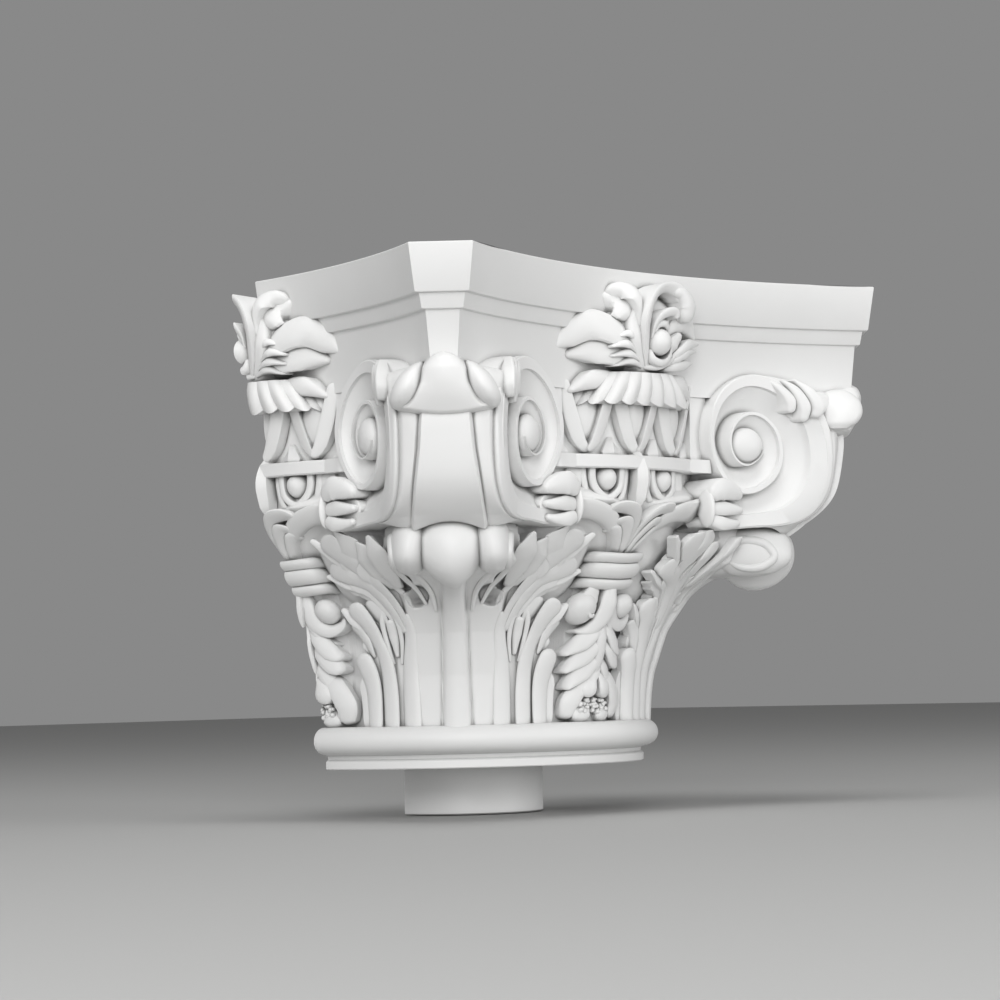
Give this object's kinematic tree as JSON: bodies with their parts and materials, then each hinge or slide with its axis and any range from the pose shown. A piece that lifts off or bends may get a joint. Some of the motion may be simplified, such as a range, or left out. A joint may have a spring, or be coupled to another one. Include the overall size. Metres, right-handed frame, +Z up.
{
  "type": "half capital",
  "caption": "Moulded half capital for a half column against a wall: acanthus bell, egg-and-dart ring, diagonal scrolls and a hollow-sided abacus.",
  "frame": {"origin": "on the column's axis in the flat back, level with the underside of the neck ring", "axes": "+Z up along the column, +Y into the wall behind, +X to the right along the wall"},
  "size_m": [0.4, 0.2003, 0.322],
  "materials": {
    "white_casting": "matte white primer on moulded foam"
  },
  "bodies": {
    "root": {"capital": "white_casting"}
  },
  "joints": []
}
